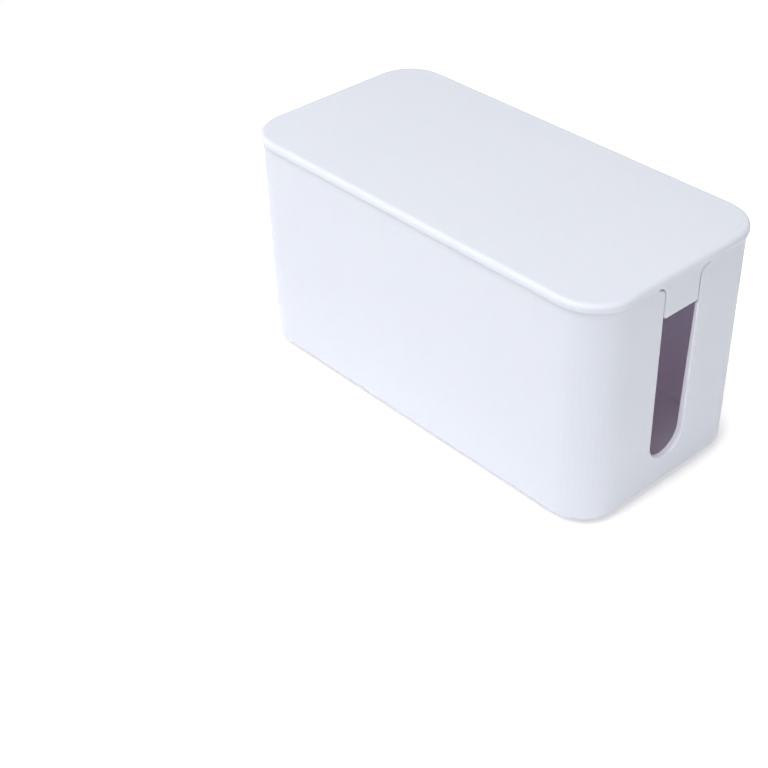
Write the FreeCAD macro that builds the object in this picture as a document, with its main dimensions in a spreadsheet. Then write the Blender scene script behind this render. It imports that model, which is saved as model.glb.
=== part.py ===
import FreeCAD, Part
import math
import os
import Sketcher

# A cable management box: an open tub that holds a power strip, with a cable slot in each end wall,
# a lid that lifts off, and four rubber feet.
# Millimetres. X runs along the box, Z is up, and the origin is on the floor under its middle.

# Driving sizes: name, value, what it is
SIZES = [
    ("lid_length", 235.0, "lid, end to end"),
    ("lid_width", 114.5, "lid, front to back"),
    ("lid_corner_radius", 22.0, "lid, upright corners"),
    ("lid_edge_height", 4.5, "lid, from the tub's rim to its top"),
    ("lid_top_radius", 2.2, "lid, rounding between its top and its edge"),
    ("lid_lower_radius", 1.0, "lid, rounding at the foot of its edge"),
    ("lid_plate", 2.4, "lid, thickness of the plate"),
    ("lid_overhang", 1.1, "lid, how far it stands out past the tub's wall"),
    ("skirt_depth", 5.0, "lid's locating skirt, below the rim"),
    ("skirt_thickness", 1.6, "lid's locating skirt"),
    ("skirt_clearance", 0.45, "between the skirt and the tub's wall"),
    ("skirt_lead_in", 0.6, "chamfer at the foot of the skirt"),
    ("skirt_gap_margin", 2.0, "from the slot's rounded corner to the skirt's end"),
    ("tongue_drop", 18.5, "lid's tongue, below the rim"),
    ("tongue_clearance", 0.9, "between the tongue and the slot's side"),
    ("tongue_corner_radius", 1.6, "tongue, lower corners"),
    ("tongue_root_radius", 5.0, "tongue, where it spreads into the lid"),
    ("tongue_root_drop", 1.2, "how far that spread hangs below the rim"),
    ("tongue_embed", 1.5, "how far the tongue runs up inside the lid"),
    ("tongue_edge", 0.7, "chamfer round the tongue's outer edges"),
    ("tub_height", 115.7, "tub, underside to rim"),
    ("tub_wall", 1.7, "tub's wall at the rim"),
    ("tub_floor", 3.0, "tub's floor"),
    ("tub_taper", 1.2, "how far the wall's outside comes in from rim to underside"),
    ("cavity_taper", 3.1, "how far the wall's inside comes in from rim to floor"),
    ("tub_bottom_radius", 4.7, "tub, outside bottom edge"),
    ("cavity_bottom_radius", 2.6, "tub, inside bottom edge"),
    ("tub_edge", 0.4, "chamfer round the rim's and the slots' outer edges"),
    ("slot_sill", 16.0, "cable slot, height of its lowest point above the underside"),
    ("slot_end_radius", 11.3, "cable slot, round lower end"),
    ("slot_taper", 1.1, "how far each side of the slot opens out from end to rim"),
    ("slot_corner_radius", 4.5, "cable slot, where its sides turn out under the rim"),
    ("slot_shoulder", 1.5, "cable slot, from the rim down to those corners"),
    ("gate_radius", 4.0, "moulding gate's dimple under the tub"),
    ("gate_depth", 0.6, "depth of the dimple"),
    ("foot_radius", 6.0, "foot"),
    ("foot_edge", 0.4, "chamfer round the foot's lower edge"),
    ("foot_height", 1.5, "how far the foot stands out under the tub"),
    ("foot_recess", 0.6, "depth of the foot's seat in the tub"),
    ("foot_gap", 0.3, "round the foot in its seat"),
    ("foot_inset", 22.0, "foot's centre, in from the tub's sides"),
    ("overrun", 2.0, "how far a cut runs past what it cuts"),
]

# Worked-out sizes, as expressions on the sheet
RIM_LEVEL = "(sizes.foot_height + sizes.tub_height)"
FLOOR_LEVEL = "(sizes.foot_height + sizes.tub_floor)"
RIM_HALF_X = "(sizes.lid_length / 2 - sizes.lid_overhang)"
RIM_HALF_Y = "(sizes.lid_width / 2 - sizes.lid_overhang)"
RIM_CORNER = "(sizes.lid_corner_radius - sizes.lid_overhang)"
SKIRT_OUTSET = "(sizes.tub_wall + sizes.skirt_clearance)"
SKIRT_INSET = "(sizes.tub_wall + sizes.skirt_clearance + sizes.skirt_thickness)"
WALL_LEAN = "atan(sizes.tub_taper / sizes.tub_height)"
CAVITY_LEAN = "atan(sizes.cavity_taper / (sizes.tub_height - sizes.tub_floor))"
SLOT_LEAN = "atan(sizes.slot_taper / (sizes.tub_height - sizes.slot_sill))"
SLOT_CENTRE_DEPTH = "(sizes.tub_height - sizes.slot_sill - sizes.slot_end_radius)"
FOOT_X = "(sizes.lid_length / 2 - sizes.lid_overhang - sizes.tub_taper - sizes.foot_inset)"
FOOT_Y = "(sizes.lid_width / 2 - sizes.lid_overhang - sizes.tub_taper - sizes.foot_inset)"

NEAR = 0.001  # two places closer than this are the same place

doc = FreeCAD.newDocument("cable_box")
sheet = doc.addObject("Spreadsheet::Sheet", "sizes")
for row, (size_name, size_value, size_note) in enumerate(SIZES, start=1):
    sheet.set(f"A{row}", size_note)
    sheet.set(f"B{row}", str(size_value))
    sheet.setAlias(f"B{row}", size_name)
doc.recompute()


def measure(expression):
    """The value of an expression on the sheet, in millimetres or degrees."""
    result = sheet.evalExpression(expression)
    return float(getattr(result, "Value", result))


def origin_plane(body, role):
    return next(f for f in body.Origin.OriginFeatures if f.Role == role)


def new_body(name):
    body = doc.addObject("PartDesign::Body", name)
    body.Label = name
    return body


def new_sketch(body, name, role, level=None):
    """A sketch on one of the body's own origin planes, moved along its normal to the level."""
    sketch = body.newObject("Sketcher::SketchObject", name)
    sketch.AttachmentSupport = [(origin_plane(body, role), "")]
    sketch.MapMode = "FlatFace"
    if level:
        sketch.setExpression("AttachmentOffset.Base.z", level)
    return sketch


def line(sketch, start, end):
    return sketch.addGeometry(Part.LineSegment(FreeCAD.Vector(*start, 0), FreeCAD.Vector(*end, 0)))


def arc(sketch, centre, radius, first, last):
    """An arc that runs anticlockwise from the first angle to the last, in degrees."""
    circle = Part.Circle(FreeCAD.Vector(*centre, 0), FreeCAD.Vector(0, 0, 1), radius)
    return sketch.addGeometry(Part.ArcOfCircle(circle, math.radians(first), math.radians(last)))


def tie(sketch, kind, *parts):
    return sketch.addConstraint(Sketcher.Constraint(kind, *parts))


def drive(sketch, name, expression, kind, *parts):
    """A dimension whose value follows an expression on the sheet."""
    value = measure(expression)
    if kind == "Angle":
        value = math.radians(value)
    index = sketch.addConstraint(Sketcher.Constraint(kind, *parts, value))
    sketch.renameConstraint(index, name)
    sketch.setExpression(f"Constraints.{name}", expression)


def rounded_rectangle(sketch, name, half_x, half_y, radius):
    """A rectangle with rounded corners, centred on the sketch's origin."""
    x, y, r = measure(half_x), measure(half_y), measure(radius)
    sides = [
        line(sketch, (r - x, -y), (x - r, -y)),
        line(sketch, (x, r - y), (x, y - r)),
        line(sketch, (x - r, y), (r - x, y)),
        line(sketch, (-x, y - r), (-x, r - y)),
    ]
    corners = [
        arc(sketch, (x - r, r - y), r, -90, 0),
        arc(sketch, (x - r, y - r), r, 0, 90),
        arc(sketch, (r - x, y - r), r, 90, 180),
        arc(sketch, (r - x, r - y), r, 180, 270),
    ]
    for turn in range(4):
        tie(sketch, "Tangent", sides[turn], 2, corners[turn], 1)
        tie(sketch, "Tangent", corners[turn], 2, sides[(turn + 1) % 4], 1)
    for corner in corners[1:]:
        tie(sketch, "Equal", corners[0], corner)
    tie(sketch, "Symmetric", sides[0], 1, sides[0], 2, -2)
    tie(sketch, "Symmetric", sides[1], 1, sides[1], 2, -1)
    tie(sketch, "Horizontal", sides[2])
    tie(sketch, "Vertical", sides[3])
    drive(sketch, f"{name}_length", f"2 * {half_x}", "DistanceX", sides[3], 1, sides[1], 1)
    drive(sketch, f"{name}_width", f"2 * {half_y}", "DistanceY", sides[0], 1, sides[2], 1)
    drive(sketch, f"{name}_corner", radius, "Radius", corners[0])


def hanging_rectangle(sketch, name, half_width, depth):
    """A plain rectangle that hangs from the sketch's origin, even about its upright axis."""
    x, low = measure(half_width), -measure(depth)
    sides = [
        line(sketch, (-x, low), (x, low)),
        line(sketch, (x, low), (x, 0)),
        line(sketch, (x, 0), (-x, 0)),
        line(sketch, (-x, 0), (-x, low)),
    ]
    for turn in range(4):
        tie(sketch, "Coincident", sides[turn], 2, sides[(turn + 1) % 4], 1)
    tie(sketch, "Symmetric", sides[0], 1, sides[0], 2, -2)
    tie(sketch, "Vertical", sides[1])
    tie(sketch, "Vertical", sides[3])
    tie(sketch, "PointOnObject", sides[1], 2, -1)
    tie(sketch, "PointOnObject", sides[3], 1, -1)
    drive(sketch, f"{name}_width", f"2 * {half_width}", "DistanceX", sides[0], 1, sides[0], 2)
    drive(sketch, f"{name}_depth", depth, "DistanceY", sides[0], 1, -1, 1)


def circle_at(sketch, name, x, y, radius):
    """A circle at signed places given as (sign, expression)."""
    place = FreeCAD.Vector(x[0] * measure(x[1]), y[0] * measure(y[1]), 0)
    ring = sketch.addGeometry(Part.Circle(place, FreeCAD.Vector(0, 0, 1), measure(radius)))
    drive(sketch, f"{name}_x", f"{x[0]} * {x[1]}", "DistanceX", -1, 1, ring, 3)
    drive(sketch, f"{name}_y", f"{y[0]} * {y[1]}", "DistanceY", -1, 1, ring, 3)
    drive(sketch, f"{name}_radius", radius, "Radius", ring)


def central_circle(sketch, name, radius):
    ring = sketch.addGeometry(
        Part.Circle(FreeCAD.Vector(0, 0, 0), FreeCAD.Vector(0, 0, 1), measure(radius))
    )
    tie(sketch, "Coincident", ring, 3, -1, 1)
    drive(sketch, f"{name}_radius", radius, "Radius", ring)


def slot_side_reach(offset, up):
    """Across from the middle to the slot's leaning side, moved out by an offset.
    Up is measured from the slot's round end."""
    lean = math.radians(measure(SLOT_LEAN))
    return (measure("sizes.slot_end_radius") + offset + up * math.sin(lean)) / math.cos(lean)


def slot_outline(sketch):
    """The cable slot seen from the end: a round lower end, leaning sides, and corners that turn out to a
    shallow shoulder just under the rim. The sketch's origin is at the rim."""
    lean = measure(SLOT_LEAN)
    end, corner = measure("sizes.slot_end_radius"), measure("sizes.slot_corner_radius")
    deep, over = measure(SLOT_CENTRE_DEPTH), measure("sizes.overrun")
    shoulder = measure("sizes.slot_shoulder")
    corner_depth = shoulder + corner
    x = slot_side_reach(corner, deep - corner_depth)
    tilt = math.radians(lean)
    turn_x, turn_y = x - corner * math.cos(tilt), corner * math.sin(tilt) - corner_depth
    foot_x, foot_y = end * math.cos(tilt), -deep - end * math.sin(tilt)

    top = line(sketch, (-x, over), (x, over))
    right_wall = line(sketch, (x, over), (x, -shoulder))
    right_corner = arc(sketch, (x, -corner_depth), corner, 90, 180 - lean)
    right_side = line(sketch, (foot_x, foot_y), (turn_x, turn_y))
    round_end = arc(sketch, (0, -deep), end, 180 + lean, 360 - lean)
    left_side = line(sketch, (-foot_x, foot_y), (-turn_x, turn_y))
    left_corner = arc(sketch, (-x, -corner_depth), corner, lean, 90)
    left_wall = line(sketch, (-x, -shoulder), (-x, over))

    tie(sketch, "Coincident", top, 2, right_wall, 1)
    tie(sketch, "Coincident", right_wall, 2, right_corner, 1)
    tie(sketch, "Tangent", right_corner, 2, right_side, 2)
    tie(sketch, "Tangent", right_side, 1, round_end, 2)
    tie(sketch, "Tangent", round_end, 1, left_side, 1)
    tie(sketch, "Tangent", left_side, 2, left_corner, 1)
    tie(sketch, "Coincident", left_corner, 2, left_wall, 1)
    tie(sketch, "Coincident", left_wall, 2, top, 1)
    tie(sketch, "Horizontal", top)
    tie(sketch, "Vertical", right_wall)
    tie(sketch, "Vertical", left_wall)
    tie(sketch, "Vertical", right_corner, 3, right_corner, 1)
    tie(sketch, "Vertical", left_corner, 3, left_corner, 2)
    tie(sketch, "Symmetric", right_wall, 2, left_wall, 1, -2)
    tie(sketch, "PointOnObject", round_end, 3, -2)
    tie(sketch, "Equal", right_corner, left_corner)
    drive(sketch, "corner_radius", "sizes.slot_corner_radius", "Radius", right_corner)
    drive(sketch, "shoulder", "sizes.slot_shoulder", "DistanceY", right_wall, 2, -1, 1)
    drive(sketch, "end_radius", "sizes.slot_end_radius", "Radius", round_end)
    drive(sketch, "end_depth", SLOT_CENTRE_DEPTH, "DistanceY", round_end, 3, -1, 1)
    drive(sketch, "overrun", "sizes.overrun", "DistanceY", -1, 1, top, 1)
    drive(sketch, "side_lean", f"90 deg - {SLOT_LEAN}", "Angle", right_side)


def tongue_outline(sketch):
    """The tongue seen from the end: sides that keep the clearance from the slot's, rounded lower corners,
    and a spread where it joins the lid. The sketch's origin is at the rim."""
    lean = measure(SLOT_LEAN)
    tilt = math.radians(lean)
    gap, deep = measure("sizes.tongue_clearance"), measure(SLOT_CENTRE_DEPTH)
    root, hang = measure("sizes.tongue_root_radius"), measure("sizes.tongue_root_drop")
    drop, corner = measure("sizes.tongue_drop"), measure("sizes.tongue_corner_radius")
    embed = measure("sizes.tongue_embed")
    root_depth = hang + root
    x = slot_side_reach(root - gap, deep - root_depth)
    turn_x, turn_y = x - root * math.cos(tilt), root * math.sin(tilt) - root_depth
    low_x = slot_side_reach(-gap - corner, deep - drop + corner)
    foot_x, foot_y = low_x + corner * math.cos(tilt), corner - drop - corner * math.sin(tilt)

    top = line(sketch, (-x, embed), (x, embed))
    right_wall = line(sketch, (x, embed), (x, -hang))
    right_root = arc(sketch, (x, -root_depth), root, 90, 180 - lean)
    right_side = line(sketch, (foot_x, foot_y), (turn_x, turn_y))
    right_corner = arc(sketch, (low_x, corner - drop), corner, -90, -lean)
    bottom = line(sketch, (low_x, -drop), (-low_x, -drop))
    left_corner = arc(sketch, (-low_x, corner - drop), corner, 180 + lean, 270)
    left_side = line(sketch, (-foot_x, foot_y), (-turn_x, turn_y))
    left_root = arc(sketch, (-x, -root_depth), root, lean, 90)
    left_wall = line(sketch, (-x, -hang), (-x, embed))
    slot_end = sketch.addGeometry(
        Part.Circle(FreeCAD.Vector(0, -deep, 0), FreeCAD.Vector(0, 0, 1),
                    measure("sizes.slot_end_radius") - gap), True)

    tie(sketch, "Coincident", top, 2, right_wall, 1)
    tie(sketch, "Coincident", right_wall, 2, right_root, 1)
    tie(sketch, "Tangent", right_root, 2, right_side, 2)
    tie(sketch, "Tangent", right_side, 1, right_corner, 2)
    tie(sketch, "Tangent", right_corner, 1, bottom, 1)
    tie(sketch, "Tangent", bottom, 2, left_corner, 2)
    tie(sketch, "Tangent", left_corner, 1, left_side, 1)
    tie(sketch, "Tangent", left_side, 2, left_root, 1)
    tie(sketch, "Coincident", left_root, 2, left_wall, 1)
    tie(sketch, "Coincident", left_wall, 2, top, 1)
    tie(sketch, "Horizontal", top)
    tie(sketch, "Horizontal", bottom)
    tie(sketch, "Vertical", right_wall)
    tie(sketch, "Vertical", left_wall)
    tie(sketch, "Vertical", right_root, 3, right_root, 1)
    tie(sketch, "Vertical", left_root, 3, left_root, 2)
    tie(sketch, "Symmetric", right_wall, 2, left_wall, 1, -2)
    tie(sketch, "Equal", right_root, left_root)
    tie(sketch, "Equal", right_corner, left_corner)
    tie(sketch, "PointOnObject", slot_end, 3, -2)
    tie(sketch, "Tangent", right_side, slot_end)
    tie(sketch, "Tangent", left_side, slot_end)
    drive(sketch, "side_reach", "sizes.slot_end_radius - sizes.tongue_clearance", "Radius", slot_end)
    drive(sketch, "slot_end_depth", SLOT_CENTRE_DEPTH, "DistanceY", slot_end, 3, -1, 1)
    drive(sketch, "root_radius", "sizes.tongue_root_radius", "Radius", right_root)
    drive(sketch, "root_drop", "sizes.tongue_root_drop", "DistanceY", right_wall, 2, -1, 1)
    drive(sketch, "embed", "sizes.tongue_embed", "DistanceY", -1, 1, top, 1)
    drive(sketch, "drop", "sizes.tongue_drop", "DistanceY", bottom, 1, -1, 1)
    drive(sketch, "corner_radius", "sizes.tongue_corner_radius", "Radius", right_corner)
    drive(sketch, "side_lean", f"90 deg - {SLOT_LEAN}", "Angle", right_side)


def add_feature(body, kind, name, expected, **settings):
    """Adds a feature, recomputes, and checks that it adds or removes volume as expected."""
    before = body.Shape.Volume if body.Tip else 0.0
    feature = body.newObject(kind, name)
    for setting, value in settings.items():
        if setting in ("Length", "Radius", "Size", "Angle") and isinstance(value, str):
            feature.setExpression(setting, value)
        else:
            setattr(feature, setting, value)
    body.Tip = feature
    doc.recompute()
    if not feature.isValid() or body.Shape.isNull():
        raise RuntimeError(f"{name} did not compute: {feature.getStatusString()}")
    change = body.Shape.Volume - before
    if expected == "adds" and change <= 0 or expected == "removes" and change >= 0:
        raise RuntimeError(f"{name} should have changed the volume the other way: {change:.3f}")
    return feature


def edges_where(feature, test):
    found = [f"Edge{i}" for i, e in enumerate(feature.Shape.Edges, start=1) if test(e)]
    if not found:
        raise RuntimeError(f"no edge of {feature.Name} was found")
    return feature, found


def faces_where(feature, test):
    found = [f"Face{i}" for i, f in enumerate(feature.Shape.Faces, start=1) if test(f)]
    if not found:
        raise RuntimeError(f"no face of {feature.Name} was found")
    return feature, found


def at_level(shape, level):
    """Whether all of an edge or face lies at a level."""
    box = shape.BoundBox
    return abs(box.ZMin - level) < NEAR and abs(box.ZMax - level) < NEAR


def from_outline(point, half_x, half_y, corner):
    """How far a point lies outside a rounded rectangle about the origin."""
    across = max(abs(point.x) - (half_x - corner), 0.0)
    along = max(abs(point.y) - (half_y - corner), 0.0)
    if across > 0 and along > 0:
        return math.hypot(across, along) - corner
    return max(abs(point.x) - half_x, abs(point.y) - half_y)


def middle(edge):
    return edge.valueAt((edge.FirstParameter + edge.LastParameter) / 2)


def level_plane(body, name, level):
    plane = body.newObject("PartDesign::Plane", name)
    plane.AttachmentSupport = [(origin_plane(body, "XY_Plane"), "")]
    plane.MapMode = "FlatFace"
    plane.setExpression("AttachmentOffset.Base.z", level)
    doc.recompute()
    return plane


def build_tub():
    body = new_body("tub")
    rim, underside = measure(RIM_LEVEL), measure("sizes.foot_height")
    floor, height = measure(FLOOR_LEVEL), measure("sizes.tub_height")

    # Outside: the rim's outline padded down to the underside, leaning in from the rim
    outline = new_sketch(body, "tub_outline", "XY_Plane", RIM_LEVEL)
    rounded_rectangle(outline, "tub", RIM_HALF_X, RIM_HALF_Y, RIM_CORNER)
    block = add_feature(body, "PartDesign::Pad", "tub_block", "adds",
                        Profile=outline, Length="sizes.tub_height", Reversed=True)
    rim_plane = level_plane(body, "rim_plane", RIM_LEVEL)
    drafted = add_feature(body, "PartDesign::Draft", "tub_draft", "removes",
                          Base=faces_where(block, lambda f: f.BoundBox.ZLength > height / 2),
                          NeutralPlane=(rim_plane, [""]), Angle=WALL_LEAN, Reversed=True)
    add_feature(body, "PartDesign::Fillet", "tub_bottom_round", "removes",
                Base=edges_where(drafted, lambda e: at_level(e, underside)),
                Radius="sizes.tub_bottom_radius")

    # Inside: the cavity, leaning in a little more than the outside, so the wall thickens downwards
    hollow = new_sketch(body, "cavity_outline", "XY_Plane", RIM_LEVEL)
    rounded_rectangle(hollow, "cavity", f"({RIM_HALF_X} - sizes.tub_wall)",
                      f"({RIM_HALF_Y} - sizes.tub_wall)", f"({RIM_CORNER} - sizes.tub_wall)")
    cavity = add_feature(body, "PartDesign::Pocket", "cavity", "removes",
                         Profile=hollow, Length="sizes.tub_height - sizes.tub_floor")
    leaning = add_feature(body, "PartDesign::Draft", "cavity_draft", "adds",
                          Base=faces_where(cavity, lambda f: abs(f.BoundBox.ZMin - floor) < NEAR
                                           and f.BoundBox.ZLength > height / 2),
                          NeutralPlane=(rim_plane, [""]), Angle=CAVITY_LEAN, Reversed=False)
    add_feature(body, "PartDesign::Fillet", "cavity_bottom_round", "adds",
                Base=edges_where(leaning, lambda e: at_level(e, floor)),
                Radius="sizes.cavity_bottom_radius")

    # Cable slots, one cut through both end walls
    slot = new_sketch(body, "slot_outline", "YZ_Plane")
    slot.setExpression("AttachmentOffset.Base.y", RIM_LEVEL)
    slot_outline(slot)
    slotted = add_feature(body, "PartDesign::Pocket", "cable_slots", "removes",
                          Profile=slot, Type="ThroughAll", SideType="Symmetric")

    # Outer edges of the rim and of the slots
    slot_reach = slot_side_reach(0, 0) + measure("sizes.slot_taper + 2 * sizes.slot_corner_radius")
    slot_foot = underside + measure("sizes.slot_sill")

    def outer_edge(edge):
        point = middle(edge)
        inward = measure("sizes.tub_taper") * (rim - point.z) / height
        off = from_outline(point, measure(RIM_HALF_X) - inward, measure(RIM_HALF_Y) - inward,
                           measure(RIM_CORNER) - inward)
        if abs(off) > NEAR:
            return False
        in_slot = abs(point.y) < slot_reach and point.z > slot_foot - NEAR and abs(point.x) > abs(point.y)
        return at_level(edge, rim) or in_slot

    add_feature(body, "PartDesign::Chamfer", "outer_edges", "removes",
                Base=edges_where(slotted, outer_edge), Size="sizes.tub_edge")

    # Seats for the feet, and the mark that the moulding gate leaves
    seats = new_sketch(body, "foot_seats", "XY_Plane", "sizes.foot_height")
    for index, (sign_x, sign_y) in enumerate(FOOT_SIGNS.values()):
        circle_at(seats, f"seat_{index}", (sign_x, FOOT_X), (sign_y, FOOT_Y),
                  "(sizes.foot_radius + sizes.foot_gap)")
    add_feature(body, "PartDesign::Pocket", "foot_seat_cuts", "removes",
                Profile=seats, Length="sizes.foot_recess", Reversed=True)
    gate = new_sketch(body, "gate_mark", "XY_Plane", "sizes.foot_height")
    central_circle(gate, "dimple", "sizes.gate_radius")
    add_feature(body, "PartDesign::Pocket", "gate_dimple", "removes",
                Profile=gate, Length="sizes.gate_depth", Reversed=True)
    return body


def build_lid():
    body = new_body("lid")
    rim = measure(RIM_LEVEL)
    top = rim + measure("sizes.lid_edge_height")

    # Plate with its rounded edge
    outline = new_sketch(body, "lid_outline", "XY_Plane", RIM_LEVEL)
    rounded_rectangle(outline, "lid", "(sizes.lid_length / 2)", "(sizes.lid_width / 2)",
                      "sizes.lid_corner_radius")
    plate = add_feature(body, "PartDesign::Pad", "lid_plate", "adds",
                        Profile=outline, Length="sizes.lid_edge_height")
    domed = add_feature(body, "PartDesign::Fillet", "lid_top_round", "removes",
                        Base=edges_where(plate, lambda e: at_level(e, top)),
                        Radius="sizes.lid_top_radius")
    add_feature(body, "PartDesign::Fillet", "lid_lower_round", "removes",
                Base=edges_where(domed, lambda e: at_level(e, rim)),
                Radius="sizes.lid_lower_radius")

    # Hollow underside and the skirt that locates the lid inside the tub's wall
    inner = [f"({half} - {SKIRT_INSET})" for half in (RIM_HALF_X, RIM_HALF_Y, RIM_CORNER)]
    outer = [f"({half} - {SKIRT_OUTSET})" for half in (RIM_HALF_X, RIM_HALF_Y, RIM_CORNER)]
    hollow = new_sketch(body, "hollow_outline", "XY_Plane", RIM_LEVEL)
    rounded_rectangle(hollow, "hollow", *inner)
    add_feature(body, "PartDesign::Pocket", "lid_hollow", "removes", Profile=hollow,
                Length="sizes.lid_edge_height - sizes.lid_plate", Reversed=True)
    ring = new_sketch(body, "skirt_outline", "XY_Plane", RIM_LEVEL)
    rounded_rectangle(ring, "skirt_outside", *outer)
    rounded_rectangle(ring, "skirt_inside", *inner)
    skirt = add_feature(body, "PartDesign::Pad", "skirt", "adds",
                        Profile=ring, Length="sizes.skirt_depth", Reversed=True)
    skirt_foot = rim - measure("sizes.skirt_depth")
    outline_sizes = [measure(expression) for expression in outer]

    def skirt_lower_edge(edge):
        return at_level(edge, skirt_foot) and abs(from_outline(middle(edge), *outline_sizes)) < NEAR

    add_feature(body, "PartDesign::Chamfer", "skirt_lead_in", "removes",
                Base=edges_where(skirt, skirt_lower_edge), Size="sizes.skirt_lead_in")
    gap = new_sketch(body, "skirt_gap", "YZ_Plane")
    gap.setExpression("AttachmentOffset.Base.y", RIM_LEVEL)
    hanging_rectangle(gap, "gap", "(sizes.slot_end_radius + sizes.slot_taper"
                      " + sizes.slot_corner_radius + sizes.skirt_gap_margin)",
                      "(sizes.skirt_depth + sizes.overrun)")
    add_feature(body, "PartDesign::Pocket", "skirt_gaps", "removes",
                Profile=gap, Type="ThroughAll", SideType="Symmetric")

    # Tongues that close the top of each slot, flush with the leaning wall
    flank = new_sketch(body, "tongue_outline", "YZ_Plane")
    flank.AttachmentOffset = FreeCAD.Placement(
        FreeCAD.Vector(0, rim, measure(RIM_HALF_X)),
        FreeCAD.Rotation(FreeCAD.Vector(1, 0, 0), measure(WALL_LEAN)))
    flank.setExpression("AttachmentOffset.Base.y", RIM_LEVEL)
    flank.setExpression("AttachmentOffset.Base.z", RIM_HALF_X)
    flank.setExpression("AttachmentOffset.Rotation.Angle", WALL_LEAN)
    tongue_outline(flank)
    tongue = add_feature(body, "PartDesign::Pad", "tongue", "adds", Profile=flank,
                         UseCustomVector=True, Direction=FreeCAD.Vector(-1, 0, 0),
                         AlongSketchNormal=False, Length="sizes.tub_wall")
    mirrored = add_feature(body, "PartDesign::Mirrored", "tongues", "adds", Originals=[tongue],
                           MirrorPlane=(origin_plane(body, "YZ_Plane"), [""]))
    half_x, lean = measure(RIM_HALF_X), measure("sizes.tub_taper / sizes.tub_height")

    def tongue_edge(edge):
        point = middle(edge)
        return point.z < rim - NEAR and abs(abs(point.x) - half_x + lean * (rim - point.z)) < NEAR

    add_feature(body, "PartDesign::Chamfer", "tongue_edges", "removes",
                Base=edges_where(mirrored, tongue_edge), Size="sizes.tongue_edge")
    return body


# Which side of the middle each foot is on, along X and along Y
FOOT_SIGNS = {
    "foot_front_left": (-1, -1),
    "foot_front_right": (1, -1),
    "foot_rear_left": (-1, 1),
    "foot_rear_right": (1, 1),
}


def build_foot(name, sign_x, sign_y):
    """A rubber foot: a low round plug, seated in the tub's underside."""
    body = new_body(name)
    outline = new_sketch(body, f"{name}_outline", "XY_Plane")
    central_circle(outline, "foot", "sizes.foot_radius")
    plug = add_feature(body, "PartDesign::Pad", f"{name}_plug", "adds", Profile=outline,
                       Length="sizes.foot_height + sizes.foot_recess")
    add_feature(body, "PartDesign::Chamfer", f"{name}_edge", "removes",
                Base=edges_where(plug, lambda e: at_level(e, 0) and e.Closed), Size="sizes.foot_edge")
    body.setExpression("Placement.Base.x", f"{sign_x} * {FOOT_X}")
    body.setExpression("Placement.Base.y", f"{sign_y} * {FOOT_Y}")
    return body


bodies = [build_tub(), build_lid()]
bodies += [build_foot(name, *signs) for name, signs in FOOT_SIGNS.items()]
doc.recompute()

for item in doc.Objects:
    if "Invalid" in item.State or "Error" in item.State:
        raise RuntimeError(f"{item.Name} did not compute: {item.State}")
for item in doc.findObjects("Sketcher::SketchObject"):
    if not item.FullyConstrained:
        raise RuntimeError(f"sketch {item.Name} is not fully constrained")
for body in bodies:
    if body.Shape.isNull() or not body.Shape.isValid() or len(body.Shape.Solids) != 1:
        raise RuntimeError(f"{body.Label} is not one sound solid")

os.makedirs("parts", exist_ok=True)
for body in bodies:
    body.Shape.exportStep(f"parts/{body.Label}.step")
    box = body.Shape.BoundBox
    print(f"{body.Label}: {body.Shape.Volume / 1000:.2f} cm3, x {box.XMin:.2f} to {box.XMax:.2f}, "
          f"y {box.YMin:.2f} to {box.YMax:.2f}, z {box.ZMin:.2f} to {box.ZMax:.2f}")
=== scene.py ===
import math

import bmesh
import bpy
from mathutils import Matrix, Vector

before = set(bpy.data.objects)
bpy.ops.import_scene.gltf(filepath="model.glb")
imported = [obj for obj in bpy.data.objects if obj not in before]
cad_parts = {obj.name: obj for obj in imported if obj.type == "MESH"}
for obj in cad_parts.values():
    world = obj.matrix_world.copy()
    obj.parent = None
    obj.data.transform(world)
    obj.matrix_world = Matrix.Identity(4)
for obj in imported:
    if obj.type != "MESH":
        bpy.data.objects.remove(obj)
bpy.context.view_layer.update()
mm = 0.001

scene = bpy.context.scene
scene.view_settings.view_transform = "Standard"
print("frame loaded:", ", ".join(sorted(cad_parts)))


# Node helpers

def fill(tree, socket, value):  # from another node's socket, or with a plain value
    if isinstance(value, bpy.types.NodeSocket):
        tree.links.new(value, socket)
    elif socket.type == "RGBA":
        socket.default_value = (*value, 1.0)
    else:
        socket.default_value = value


def addNode(tree, kind, inputs=(), **settings):
    node = tree.nodes.new(kind)
    for key, value in settings.items():
        setattr(node, key, value)
    for key, value in dict(inputs).items():
        fill(tree, node.inputs[key], value)
    return node


def calculate(tree, operation, *values):
    return addNode(tree, "ShaderNodeMath", enumerate(values), operation=operation).outputs[0]


def calculateVector(tree, operation, *values):
    return addNode(tree, "ShaderNodeVectorMath", enumerate(values), operation=operation).outputs["Vector"]


def noiseAt(tree, place, scale, detail, roughness=0.5):
    settings = {"Vector": place, "Scale": scale, "Detail": detail, "Roughness": roughness}
    return addNode(tree, "ShaderNodeTexNoise", settings).outputs["Fac"]


def rampOver(tree, value, low, high, lowAt=0.3, highAt=0.7):
    settings = {"Value": value, "From Min": lowAt, "From Max": highAt, "To Min": low, "To Max": high}
    return addNode(tree, "ShaderNodeMapRange", settings).outputs["Result"]


def mixColors(tree, factor, first, second):  # a Mix node keeps its colours in sockets 6 and 7
    return addNode(tree, "ShaderNodeMix", {0: factor, 6: first, 7: second}, data_type="RGBA").outputs[2]


def mixNumbers(tree, factor, first, second):  # and its numbers in sockets 2 and 3
    return addNode(tree, "ShaderNodeMix", {0: factor, 2: first, 3: second}, data_type="FLOAT").outputs[0]


# Moulded surface, shared by the plastic and the rubber: the fine spark texture of a steel mould, faint clouds
# in the colour, and duller marks where hands have touched it

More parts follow.
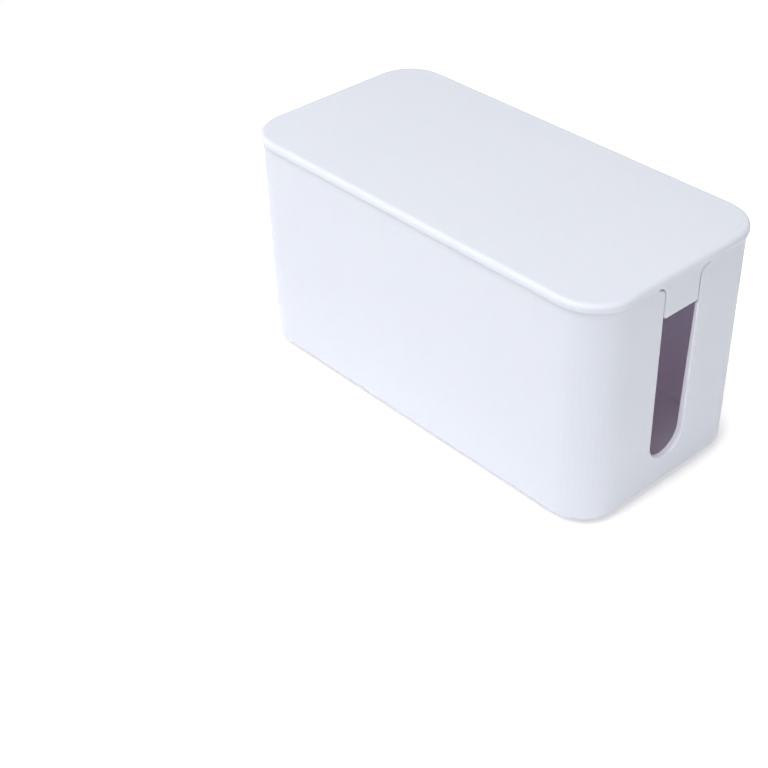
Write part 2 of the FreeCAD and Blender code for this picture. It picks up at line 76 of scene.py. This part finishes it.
moulding = {
    "grainDetail": 3.0,
    "grainSharpness": 0.6,
    "cloudsPerMetre": 14.0,
    "cloudDetail": 3.0,
    "marksPerMetre": 60.0,
    "markDetail": 5.0,
    "markSharpness": 0.65,
    "markRange": (0.50, 0.66),  # the noise from which a mark starts and at which it is full
    "bumpHeight": 0.05 * mm,
}


def makeMouldedGroup():
    group = bpy.data.node_groups.new("mouldedPlastic", "ShaderNodeTree")
    sockets = {
        "INPUT": {"grainSize": "Float", "grainDepth": "Float", "clouding": "Float", "smoothRoughness": "Float",
                  "grainRoughness": "Float", "wear": "Float", "baseColor": "Color", "cloudColor": "Color"},
        "OUTPUT": {"color": "Color", "roughness": "Float", "normal": "Vector"},
    }
    for side, kinds in sockets.items():
        for name, kind in kinds.items():
            group.interface.new_socket(name, in_out=side, socket_type="NodeSocket" + kind)
    given = addNode(group, "NodeGroupInput").outputs
    result = addNode(group, "NodeGroupOutput").inputs
    place = addNode(group, "ShaderNodeTexCoord").outputs["Object"]

    grainsPerMetre = calculate(group, "DIVIDE", 1.0, given["grainSize"])
    grain = noiseAt(group, place, grainsPerMetre, moulding["grainDetail"], moulding["grainSharpness"])

    cloud = noiseAt(group, place, moulding["cloudsPerMetre"], moulding["cloudDetail"])
    shade = calculate(group, "MULTIPLY", rampOver(group, cloud, 0.0, 1.0), given["clouding"])
    fill(group, result["color"], mixColors(group, shade, given["baseColor"], given["cloudColor"]))

    gloss = mixNumbers(group, rampOver(group, grain, 0.0, 1.0), given["smoothRoughness"], given["grainRoughness"])
    mark = noiseAt(group, place, moulding["marksPerMetre"], moulding["markDetail"], moulding["markSharpness"])
    marked = rampOver(group, mark, 0.0, 1.0, *moulding["markRange"])
    fill(group, result["roughness"], calculate(group, "MULTIPLY_ADD", marked, given["wear"], gloss))

    bumpSettings = {"Distance": moulding["bumpHeight"], "Strength": given["grainDepth"], "Height": grain}
    fill(group, result["normal"], addNode(group, "ShaderNodeBump", bumpSettings).outputs["Normal"])
    return group


mouldedGroup = makeMouldedGroup()


def newMouldedMaterial(name, look):
    material = bpy.data.materials.new(name)
    material.use_nodes = True
    tree = material.node_tree
    shader = tree.nodes["Principled BSDF"]
    smoothRoughness, grainRoughness = look["roughness"]
    moulded = addNode(tree, "ShaderNodeGroup", {
        "grainSize": look["grainSize"],
        "grainDepth": look["grainDepth"],
        "clouding": look["clouding"],
        "smoothRoughness": smoothRoughness,
        "grainRoughness": grainRoughness,
        "wear": look["wear"],
        "baseColor": look["color"],
        "cloudColor": look["cloudColor"],
    }, node_tree=mouldedGroup)
    for output, target in (("color", "Base Color"), ("roughness", "Roughness"), ("normal", "Normal")):
        fill(tree, shader.inputs[target], moulded.outputs[output])
    return material, tree, shader


# Shell: satin white plastic, the same on the tub and the lid. Light passes a little way into it, which
# softens its edges and grooves

shell = {
    "color": (0.775, 0.80, 0.87),
    "cloudColor": (0.755, 0.785, 0.86),
    "clouding": 0.6,
    "grainSize": 0.45 * mm,
    "grainDepth": 0.35,
    "roughness": (0.42, 0.52),  # between the grains, and on them
    "wear": 0.07,
    "ior": 1.47,
    "scattering": 1.0,
    "scatterRadius": (1.0, 0.9, 0.95),
    "scatterScale": 1.6 * mm,
}

# Painted light: the shell's inner side glows a faint purple-grey, standing in for light through thin walls, and
# the slots' cut sides glow as a painted light that makes them as light as the wall around them. Both glows are
# masked from the wall's place, as its mould shapes it

innerSide = {
    "glow": (0.027, 0.016, 0.021),
    "cornerCentre": (95.5 * mm, 35.25 * mm, 1.0),  # of the rounded corners, and above everything
    "middleRadius": (17.9 * mm, 20.05 * mm),  # from there to the middle of the wall, at the floor and the rim
    "floorHeight": 3.0 * mm,
    "rimHeight": 117.2 * mm,
    "topHeight": 120.5 * mm,  # within the lid's plate
    "blend": 0.3 * mm,
}

cutSide = {
    # painted light: lifts the shaded cut sides of the slots to the tone of the wall around them
    "glow": (0.17, 0.155, 0.18),
    "halfWall": (1.83 * mm, 0.85 * mm),  # half the wall's thickness, at the floor and the rim
    "edgeFade": (0.04 * mm, 0.4 * mm),  # how deep in the wall the glow starts and is full
    "from": 14.0 * mm,
    "to": 97.0 * mm,  # just under the lid's tongue
}


def heightBand(tree, height, low, high):  # 1 from low to high, and 0 outside
    above = rampOver(tree, height, 0.0, 1.0, low - innerSide["blend"], low)
    below = rampOver(tree, height, 1.0, 0.0, high - innerSide["blend"], high)
    return calculate(tree, "MULTIPLY", above, below)


def makePaintedLightMasks(tree):
    place = addNode(tree, "ShaderNodeTexCoord").outputs["Object"]
    height = addNode(tree, "ShaderNodeSeparateXYZ", {0: place}).outputs["Z"]
    wallHeights = (innerSide["floorHeight"], innerSide["rimHeight"])

    # How far inside the middle of the wall a point lies, in plan
    quarter = calculateVector(tree, "ABSOLUTE", place)
    fromCentre = calculateVector(tree, "SUBTRACT", quarter, innerSide["cornerCentre"])
    outward = calculateVector(tree, "MAXIMUM", fromCentre)
    radius = addNode(tree, "ShaderNodeVectorMath", {0: outward}, operation="LENGTH").outputs["Value"]
    middle = rampOver(tree, height, *innerSide["middleRadius"], *wallHeights)
    depth = calculate(tree, "SUBTRACT", middle, radius)

    inward = rampOver(tree, depth, 0.0, 1.0, -innerSide["blend"], innerSide["blend"])
    inside = heightBand(tree, height, innerSide["floorHeight"], innerSide["topHeight"])
    paintedInnerLightMask = calculate(tree, "MULTIPLY", inward, inside)

    # Mask of the painted light on the slots' cut sides, inside the wall's thickness
    halfWall = rampOver(tree, height, *cutSide["halfWall"], *wallHeights)
    buried = calculate(tree, "SUBTRACT", halfWall, calculate(tree, "ABSOLUTE", depth))
    inWall = rampOver(tree, buried, 0.0, 1.0, *cutSide["edgeFade"])
    paintedCutSideLightMask = calculate(tree, "MULTIPLY", inWall, heightBand(tree, height, cutSide["from"], cutSide["to"]))
    return paintedInnerLightMask, paintedCutSideLightMask


def makeShellMaterial():
    material, tree, shader = newMouldedMaterial("satinWhitePlastic", shell)
    shader.inputs["IOR"].default_value = shell["ior"]
    shader.inputs["Subsurface Weight"].default_value = shell["scattering"]
    shader.inputs["Subsurface Radius"].default_value = shell["scatterRadius"]
    shader.inputs["Subsurface Scale"].default_value = shell["scatterScale"]
    paintedInnerLightMask, paintedCutSideLightMask = makePaintedLightMasks(tree)
    # Painted light: the inner side and the slots' cut sides glow by emission in place of the light that reaches
    # them
    paintedInnerLight = mixColors(tree, paintedInnerLightMask, (0.0, 0.0, 0.0), innerSide["glow"])
    fill(tree, shader.inputs["Emission Color"], mixColors(tree, paintedCutSideLightMask, paintedInnerLight, cutSide["glow"]))
    shader.inputs["Emission Strength"].default_value = 1.0
    return material


# Feet: matt grey rubber

rubber = {
    "color": (0.16, 0.16, 0.17),
    "cloudColor": (0.20, 0.20, 0.21),
    "clouding": 0.8,
    "grainSize": 0.3 * mm,
    "grainDepth": 0.6,
    "roughness": (0.75, 0.9),
    "wear": 0.08,
}

shellMaterial = makeShellMaterial()
rubberMaterial, *_ = newMouldedMaterial("mattRubber", rubber)
for nodeName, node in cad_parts.items():
    node.data.materials.clear()
    node.data.materials.append(rubberMaterial if nodeName.startswith("foot") else shellMaterial)
print("materials made")


# Floor: a small white sheet. To the camera and in reflections it also glows a little, as a lit paper sweep does,
# so that it stays white;
# it darkens where the box shades it, and near the box's foot a painted contact shadow darkens it further

floor = {
    "halfSize": 0.60,
    "color": (0.93, 0.93, 0.94),
    "seenColor": (1.05, 1.03, 1.04),
    "seenGlow": 0.55,
    "contactReach": 16 * mm,
    "contactShade": 0.68,
    "openness": (0.5, 1.0),  # at the foot of a wall, and away from it
    "opennessSamples": 8,
}


def seenFactor(tree):  # 1 for the camera and in reflections
    path = addNode(tree, "ShaderNodeLightPath").outputs
    seenOrMirrored = calculate(tree, "MAXIMUM", path["Is Camera Ray"], path["Is Glossy Ray"])
    return calculate(tree, "MAXIMUM", seenOrMirrored, path["Is Transmission Ray"])


def makeFloorMaterial():
    material = bpy.data.materials.new("paperFloor")
    material.use_nodes = True
    material.cycles.emission_sampling = "NONE"  # its glow lights nothing
    tree = material.node_tree
    tree.nodes.clear()
    seen = seenFactor(tree)
    # Painted contact shadow: an ambient-occlusion node darkens the floor's seen colour and glow at the box's foot
    paintedShadowOcclusion = addNode(tree, "ShaderNodeAmbientOcclusion", {"Distance": floor["contactReach"]},
                     samples=floor["opennessSamples"])
    contact = rampOver(tree, paintedShadowOcclusion.outputs["AO"], floor["contactShade"], 1.0, *floor["openness"])
    shaded = addNode(tree, "ShaderNodeVectorMath", {0: floor["seenColor"], "Scale": contact}, operation="SCALE")
    tone = mixColors(tree, seen, floor["color"], shaded.outputs["Vector"])
    paper = addNode(tree, "ShaderNodeBsdfDiffuse", {"Color": tone})
    shadedGlow = calculate(tree, "MULTIPLY", floor["seenGlow"], contact)
    glow = addNode(tree, "ShaderNodeEmission", {"Strength": calculate(tree, "MULTIPLY", shadedGlow, seen)})
    both = addNode(tree, "ShaderNodeAddShader", {0: paper.outputs[0], 1: glow.outputs[0]})
    addNode(tree, "ShaderNodeOutputMaterial", {"Surface": both.outputs[0]})
    return material


def makeFloor():
    bm = bmesh.new()
    bmesh.ops.create_grid(bm, x_segments=1, y_segments=1, size=floor["halfSize"])
    mesh = bpy.data.meshes.new("floor")
    bm.to_mesh(mesh)
    bm.free()
    mesh.materials.append(makeFloorMaterial())
    obj = bpy.data.objects.new("floor", mesh)
    scene.collection.objects.link(obj)


makeFloor()


# Light: a dim white room, one wide soft lamp high in front, and lower ones at the left, the right and behind

room = {
    "color": (0.97, 0.98, 1.0),
    "strength": 0.1,
    "seenColor": (1.0, 1.0, 1.0),
    "seenStrength": 1.0,
}

lamps = [
    {"name": "frontLamp", "power": 15.4, "size": (1.0, 1.0), "place": (0.0, -0.65, 1.2), "mirrored": True},
    {"name": "leftLamp", "power": 4.9, "size": (0.9, 0.7), "place": (-1.16, -0.49, 0.37), "mirrored": True},
    {"name": "rightLamp", "power": 4.7, "size": (0.9, 0.7), "place": (1.17, -0.28, 0.54), "mirrored": True},
    {"name": "backLamp", "power": 6.0, "size": (0.9, 0.4), "place": (-0.35, 1.15, 0.22), "mirrored": False},
]
lampTarget = (0.0, 0.0, 0.06)


def makeWorld():
    world = bpy.data.worlds.new("whiteRoom")
    scene.world = world
    world.use_nodes = True
    tree = world.node_tree
    tree.nodes.clear()
    lit = addNode(tree, "ShaderNodeBackground", {"Color": room["color"], "Strength": room["strength"]})
    seen = addNode(tree, "ShaderNodeBackground", {"Color": room["seenColor"], "Strength": room["seenStrength"]})
    mix = addNode(tree, "ShaderNodeMixShader", {0: seenFactor(tree), 1: lit.outputs[0], 2: seen.outputs[0]})
    addNode(tree, "ShaderNodeOutputWorld", {"Surface": mix.outputs[0]})


def aimed(place, target):
    back = (Vector(place) - Vector(target)).normalized()
    return Matrix.Translation(place) @ back.to_track_quat("Z", "Y").to_matrix().to_4x4()


def makeLamp(settings):
    lamp = bpy.data.lights.new(settings["name"], "AREA")
    lamp.shape = "RECTANGLE"
    lamp.size, lamp.size_y = settings["size"]
    lamp.energy = settings["power"]
    obj = bpy.data.objects.new(settings["name"], lamp)
    scene.collection.objects.link(obj)
    obj.matrix_world = aimed(settings["place"], lampTarget)
    obj.visible_camera = False
    obj.visible_glossy = settings["mirrored"]


makeWorld()
for settings in lamps:
    makeLamp(settings)
print("floor and lights made")


# Camera: solved from the box's straight edges in the photograph

camera = {
    "imageSide": 768,
    "focalPixels": 1534.3,
    "sensorWidth": 36.0,
    "azimuth": 49.19,
    "elevation": 36.29,
    "roll": -1.75,
    "distance": 752.85 * mm,
    "target": (0.0, 0.0, 66.5 * mm),
    "aimRight": 105.64,  # pixels that the target lies right of the middle of the image
    "aimDown": -113.34,
    "clipStart": 10 * mm,
}


def makeCamera():
    azimuth, elevation, roll = (math.radians(camera[k]) for k in ("azimuth", "elevation", "roll"))
    back = Vector((math.sin(azimuth) * math.cos(elevation),
                   -math.cos(azimuth) * math.cos(elevation), math.sin(elevation)))
    level = Vector((math.cos(azimuth), math.sin(azimuth), 0.0))
    upright = back.cross(level)
    right = math.cos(roll) * level + math.sin(roll) * upright
    up = math.cos(roll) * upright - math.sin(roll) * level
    perPixel = camera["distance"] / camera["focalPixels"]
    place = (Vector(camera["target"]) + back * camera["distance"]
             - right * camera["aimRight"] * perPixel + up * camera["aimDown"] * perPixel)
    data = bpy.data.cameras.new("camera")
    data.sensor_width = camera["sensorWidth"]
    data.lens = camera["focalPixels"] * camera["sensorWidth"] / camera["imageSide"]
    data.clip_start = camera["clipStart"]
    obj = bpy.data.objects.new("camera", data)
    scene.collection.objects.link(obj)
    axes = Matrix((right, up, back)).transposed().to_4x4()
    obj.matrix_world = Matrix.Translation(place) @ axes
    scene.camera = obj


makeCamera()
print("camera placed")
